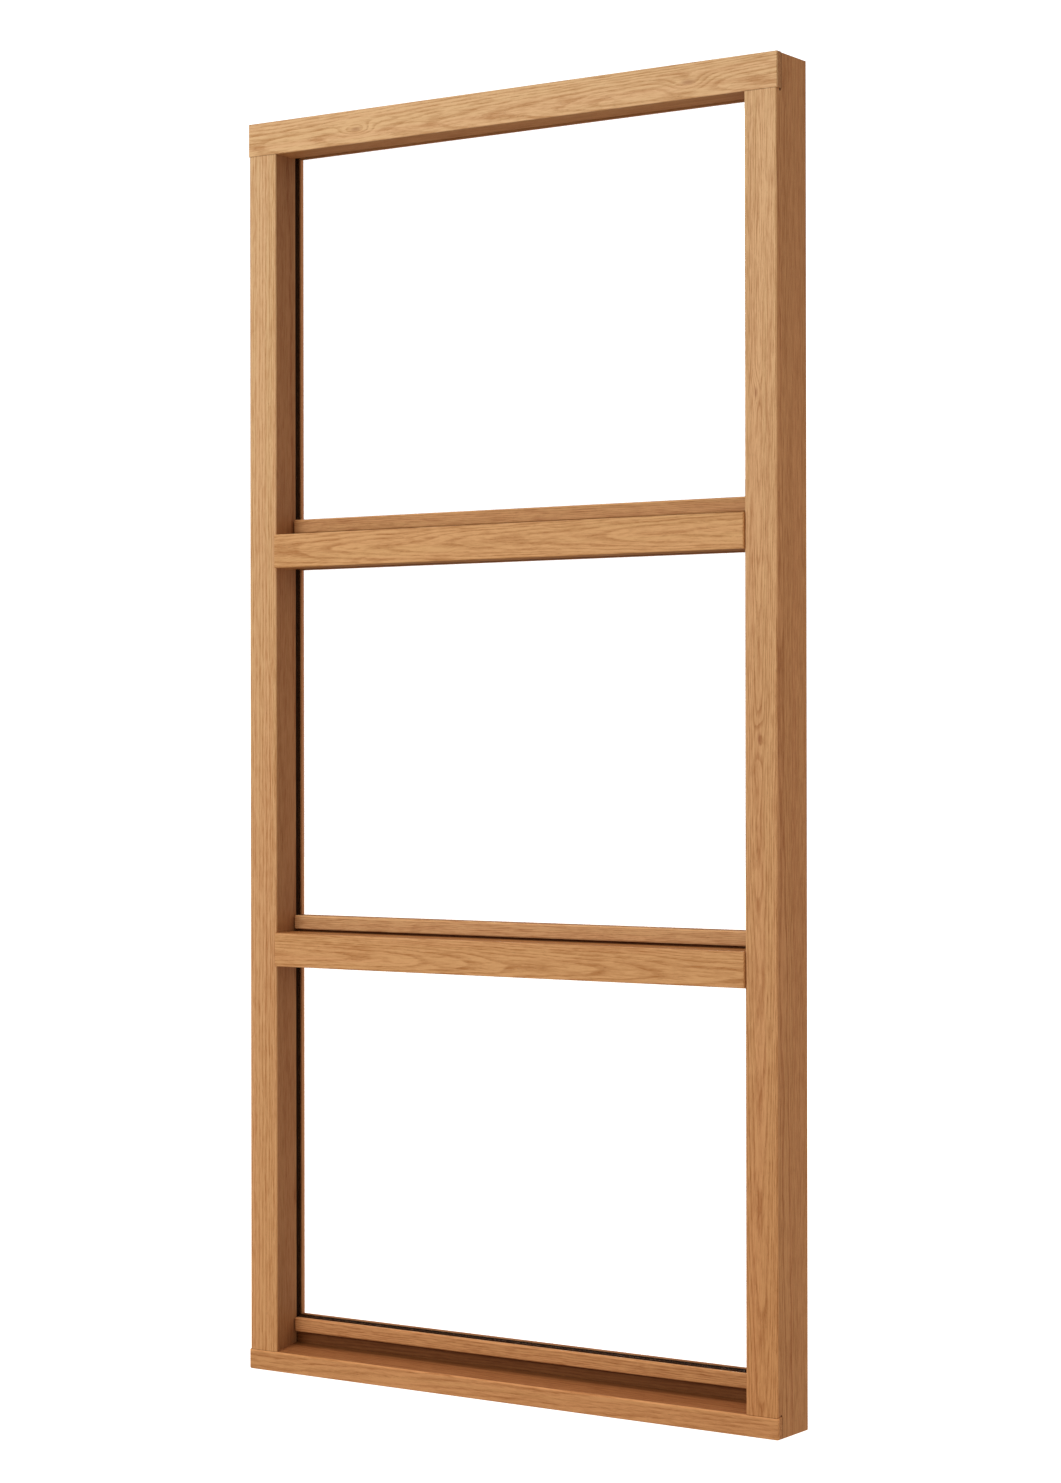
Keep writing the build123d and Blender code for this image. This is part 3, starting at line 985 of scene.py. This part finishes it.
@dataclass
class OakFrame:
    """Head, sill, jambs and transoms."""

    transom_front: float = -52.0 * MM
    sill_front: float = -48.0 * MM
    lip_top: float = 32.4 * MM
    # Painted shade in the jambs' reveals
    reveal_shade_tint: Colour = (0.495, 0.35, 0.275)
    joints: tuple[Joint, ...] = (
        Joint(-36.0 * MM, 32.6 * MM, 1.0), Joint(-34.0 * MM, 2045.0 * MM, -1.0),
    )

    def boards(self) -> dict[str, Oak]:
        """Say how each rail and jamb was sawn.

        Returns:
            The boards, by their nodes' names.
        """
        return {
            "head": Oak(
                "oak_head", Grain.LEVEL, light=shade(237, 199, 151), dark=shade(195, 145, 94),
                figure=0.5, slope=0.022, pith_across=2.060, pith_depth=-0.005, ring=0.0028,
                end_gain=0.78, knots=(Knot(-0.285, 2.068, 0.010), Knot(0.355, 2.070, 0.012)),
            ),
            "upper_transom": Oak(
                "oak_upper_transom", Grain.LEVEL, light=shade(230, 189, 136),
                dark=shade(187, 136, 84), front=self.transom_front, slope=0.022,
                pith_across=1.377, pith_depth=-0.02, ring=0.0028, figure=0.5, throat=1.0,
            ),
            "lower_transom": Oak(
                "oak_lower_transom", Grain.LEVEL, light=shade(230, 191, 141),
                dark=shade(188, 138, 86), front=self.transom_front, slope=-0.022,
                pith_across=0.70, pith_depth=-0.02, ring=0.0028, figure=0.5, throat=1.0,
            ),
            "sill": Oak(
                "oak_sill", Grain.LEVEL, light=shade(223, 184, 136), dark=shade(181, 134, 87),
                # Painted shade in the sill's recesses and throat, and a painted highlight on its
                # lip's crest
                recess_shade_tint=(0.65, 0.42, 0.312), throat_shade_tint=(0.448, 0.405, 0.32),
                front=self.sill_front, slope=0.02, crest_z=self.lip_top, crest_highlight_gain=1.2,
                pith_across=-0.04, pith_depth=0.06, figure=0.45, throat=1.0,
            ),
            "left_jamb": Oak(
                "oak_left_jamb", Grain.UPRIGHT, light=shade(233, 198, 152),
                dark=shade(192, 142, 92), foot_tint=(0.93, 0.735, 0.60),
                # Painted shade in the reveal; the joints' dark seam carries painted shadow
                recess_shade_tint=self.reveal_shade_tint, joints=self.joints, slope=0.012,
                pith_across=0.62, pith_depth=-0.02, ring=0.0065, figure=0.5,
            ),
            "right_jamb": Oak(
                "oak_right_jamb", Grain.UPRIGHT, light=shade(237, 200, 152),
                dark=shade(193, 145, 97), foot_tint=(0.84, 0.615, 0.465),
                # Painted shade on the outer side and in the reveal
                side_shade_tint=(0.68, 0.52, 0.43), recess_shade_tint=self.reveal_shade_tint,
                joints=self.joints, slope=0.02, pith_across=-0.48, pith_depth=-0.012,
                ring=0.0028, figure=0.55,
                knots=(Knot(0.475, 1.585, 0.008, 2.0), Knot(0.48, 1.06, 0.009, 2.0)),
            ),
        }

    def build(self) -> None:
        """Dress the rails and jambs."""
        for node, oak in self.boards().items():
            dress(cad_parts[node], oak.material())


@dataclass
class GlazedPane:
    """One sealed pane with its gasket, tape, spacer bar and beads."""

    name: str
    weather: tuple[Colour, Colour]
    indoors: tuple[Colour, Colour] = (shade(212, 153, 107), shade(184, 121, 77))
    gasket_width: float = 12.0 * MM
    spacer_width: float = 11.0 * MM
    tape_width: float = 12.0 * MM
    nose: float = 1.4 * MM
    top_shy: float = 0.4
    # A painted highlight along the weather bead's crest
    crest_highlight_gain: float = 1.2

    def node(self, part: str) -> str:
        """The name of one of this pane's nodes."""
        return f"{self.name}_{part}"

    def loop(self, part: str, width: float, nose: float,
             material: bpy.types.Material) -> None:
        """Make a mitred strip in place of a plain ring.

        Args:
            part: the ring's name within the pane.
            width: from the ring's outer edge to its inner one.
            nose: how much of the width is rounded.
            material: its finish.
        """
        node = self.node(part)
        low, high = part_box(node)
        profile = rounded_nose(width, high.y - low.y, nose)
        piece = new_piece(f"{node}_strip", *mitred_loop(profile, low, high, self.top_shy))
        dress(piece, material)
        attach(piece, BODY)
        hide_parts(node)

    def oak(self, grain: Grain, tones: tuple[Colour, Colour], use: str,
            crest_z: float = NEVER_Z) -> Oak:
        """Choose the straight-grained oak of some beads.

        Args:
            grain: which way their fibres run.
            tones: the light wood's colour and the dark wood's.
            use: which beads they are, for the finish's name.
            crest_z: the height of their crest with its painted highlight, where they have one.

        Returns:
            The oak.
        """
        return Oak(
            f"oak_{self.name}_{use}_{grain.value}", grain, light=tones[0], dark=tones[1],
            ring=3.0 * MM, pith_depth=0.02, pith_across=0.1, slope=0.01, figure=0.5,
            foot_tint=PLAIN, front=CAD_BOX[1].y, crest_z=crest_z,
            crest_highlight_gain=self.crest_highlight_gain,
        )

    def build(self, rubber: bpy.types.Material, plastic: bpy.types.Material,
              glass: bpy.types.Material) -> None:
        """Dress the glass and beads, and make the strips.

        Args:
            rubber, plastic, glass: the finishes of gaskets, spacer bar and sheets.
        """
        for sheet in ("outer_glass", "inner_glass"):
            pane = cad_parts[self.node(sheet)]
            pane.visible_shadow = pane.visible_diffuse = False
            dress(pane, glass)
        self.loop("outer_gasket", self.gasket_width, self.nose, rubber)
        self.loop("inner_tape", self.tape_width, self.nose / 2, rubber)
        self.loop("spacer_frame", self.spacer_width, self.nose, plastic)
        bead = self.node("weather_bead")
        weather = self.oak(Grain.LEVEL, self.weather, "weather_bead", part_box(bead)[1].z)
        dress(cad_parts[bead], weather.material())
        level = self.oak(Grain.LEVEL, self.indoors, "beads").material()
        upright = self.oak(Grain.UPRIGHT, self.indoors, "beads").material()
        for side in Side:
            along = level if side.value[0] == 0 else upright
            dress(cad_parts[self.node(f"bead_{side.name.lower()}")], along)


@dataclass
class Studio:
    """Pale floor, soft lights and the camera."""

    camera_place: Place = (2.9065, -4.2545, 1.0465)
    azimuth: float = 34.068
    pitch: float = 0.114
    roll: float = 0.08
    lens: float = 77.6
    film: float = 36.0
    floor_size: float = 40.0
    floor_parts: int = 8
    floor_drop: float = 0.5 * MM
    key_place: Place = (-2.0, -5.2, 3.2)
    key_size: float = 2.6
    key_power: float = 125.0
    ambient: float = 0.5
    ambient_colour: Colour = (1.0, 0.84, 0.70)
    indoors: float = 1.8
    glint: float = 0.1
    backdrop: float = 1.35
    floor_tones: tuple[Colour, Colour] = ((0.86, 0.86, 0.86), (0.9, 0.9, 0.9))
    floor_waves: float = 0.6
    floor_dim: Colour = (0.05, 0.04, 0.03)
    floor_roughness: float = 0.9

    def build_camera(self) -> None:
        """Set the camera at the photograph's place and angle."""
        data = bpy.data.cameras.new("camera")
        data.lens, data.sensor_fit = self.lens, "VERTICAL"
        data.sensor_height = self.film
        data.clip_end = 200.0
        camera = bpy.data.objects.new("camera", data)
        bpy.context.scene.collection.objects.link(camera)
        camera.location = self.camera_place
        turn = Euler((math.radians(90 + self.pitch), 0.0, math.radians(self.azimuth)))
        spin = Euler((0.0, 0.0, math.radians(-self.roll)))
        camera.rotation_euler = (turn.to_matrix() @ spin.to_matrix()).to_euler()
        bpy.context.scene.camera = camera

    def build_world(self) -> None:
        """A white room that looks bright and lights softly.

        What the camera sees, directly or through the glass, is the backdrop. What lights the
        wood by scattering is a dimmer, warm light, weaker from indoors, and only a little of
        it shows as gloss.
        """
        world = bpy.data.worlds.new("studio")
        bpy.context.scene.world = world
        world.use_nodes = True
        world.node_tree.nodes.clear()
        wire = Wiring(world.node_tree)
        path = wire.add("ShaderNodeLightPath")
        scattered = wire.math("GREATER_THAN", path.outputs["Diffuse Depth"], 0.5)
        glossy = wire.math("GREATER_THAN", path.outputs["Glossy Depth"], 0.5)
        towards = wire.split(wire.add("ShaderNodeTexCoord").outputs["Generated"])[1]
        strength = wire.ramp(towards, -0.5, 0.5, self.ambient, self.ambient * self.indoors)
        gloss = wire.math("MULTIPLY", strength, self.glint)
        lit = wire.math("MAXIMUM", scattered, glossy)
        dim = wire.blend(scattered, wire.join(gloss, gloss, gloss),
                         wire.join(strength, strength, strength))
        dim = wire.blend(1.0, dim, self.ambient_colour, "MULTIPLY")
        white = (self.backdrop, self.backdrop, self.backdrop)
        light = wire.add("ShaderNodeBackground")
        wire.feed(light.inputs["Color"], wire.blend(lit, white, dim))
        output = wire.add("ShaderNodeOutputWorld")
        wire.feed(output.inputs["Surface"], light.outputs[0])

    def build_key(self) -> None:
        """Add a square soft light that faces the window's middle."""
        data = bpy.data.lights.new("key", "AREA")
        data.shape, data.size, data.energy = "SQUARE", self.key_size, self.key_power
        light = bpy.data.objects.new("key", data)
        bpy.context.scene.collection.objects.link(light)
        middle = (CAD_BOX[0] + CAD_BOX[1]) / 2
        light.location = self.key_place
        light.rotation_euler = (
            (Vector(self.key_place) - middle).to_track_quat("Z", "Y").to_euler()
        )

    def build_floor(self) -> None:
        """A pale floor, as a grid in X and Y at one height.

        To the camera it glows white, and to scattered and mirrored rays it is dim and warm,
        as the world is.
        """
        parts, edge = self.floor_parts, self.floor_parts + 1
        across = np.linspace(-self.floor_size / 2, self.floor_size / 2, edge)
        x, y = np.meshgrid(across, across, indexing="ij")
        vertices = np.stack((x, y, np.full_like(x, -self.floor_drop)), -1).reshape(-1, 3)
        row, column = np.meshgrid(np.arange(parts), np.arange(parts), indexing="ij")
        first = row * edge + column
        corners = (first, first + edge, first + edge + 1, first + 1)
        faces = np.stack(corners, -1).reshape(-1, 4)
        mesh = bpy.data.meshes.new("floor")
        mesh.from_pydata(vertices.tolist(), [], faces.tolist())
        floor = bpy.data.objects.new("floor", mesh)
        bpy.context.scene.collection.objects.link(floor)
        material, wire, shader = new_material("pale_floor")
        place = wire.add("ShaderNodeTexCoord").outputs["Object"]
        tone = wire.blend(wire.noise(place, self.floor_waves, 2.0), *self.floor_tones)
        path = wire.add("ShaderNodeLightPath")
        scattered = wire.math("GREATER_THAN", path.outputs["Diffuse Depth"], 0.5)
        glossy = wire.math("GREATER_THAN", path.outputs["Glossy Depth"], 0.5)
        lit = wire.math("MAXIMUM", scattered, glossy)
        wire.feed(shader.inputs["Base Color"], wire.blend(lit, tone, self.floor_dim))
        shader.inputs["Roughness"].default_value = self.floor_roughness
        shader.inputs["Specular IOR Level"].default_value = 0.0
        dim = wire.ramp(scattered, 0.0, 1.0, self.ambient * self.glint, self.ambient)
        glow = wire.blend(lit, PLAIN, self.ambient_colour)
        wire.feed(shader.inputs["Emission Color"], glow)
        wire.feed(shader.inputs["Emission Strength"], wire.ramp(lit, 0.0, 1.0, 1.0, dim))
        floor.visible_diffuse = floor.visible_glossy = False
        dress(floor, material)

    def build(self) -> None:
        """Set up camera, world, lights and floor, and the plain display of colours."""
        self.build_camera()
        self.build_world()
        self.build_key()
        self.build_floor()
        bpy.context.scene.view_settings.view_transform = "Standard"


def main() -> None:
    """Dress the frame, then the panes, then set up the studio."""
    logging.basicConfig(level=logging.INFO, format="%(name)s: %(message)s")
    OakFrame().build()
    rubber = Moulded("black_rubber", shade(44, 26, 14), shade(54, 33, 20), 0.75).material()
    plastic = Moulded("black_plastic", shade(38, 22, 13), shade(46, 28, 18), 0.65).material()
    glass = ClearGlass().material()
    tones = {
        "upper": (shade(216, 170, 118), shade(172, 118, 72)),
        "middle": (shade(227, 183, 133), shade(181, 125, 80)),
        "lower": (shade(217, 162, 110), shade(172, 112, 66)),
    }
    for name, weather in tones.items():
        GlazedPane(name, weather).build(rubber, plastic, glass)
    Studio().build()


if __name__ == "__main__":
    main()
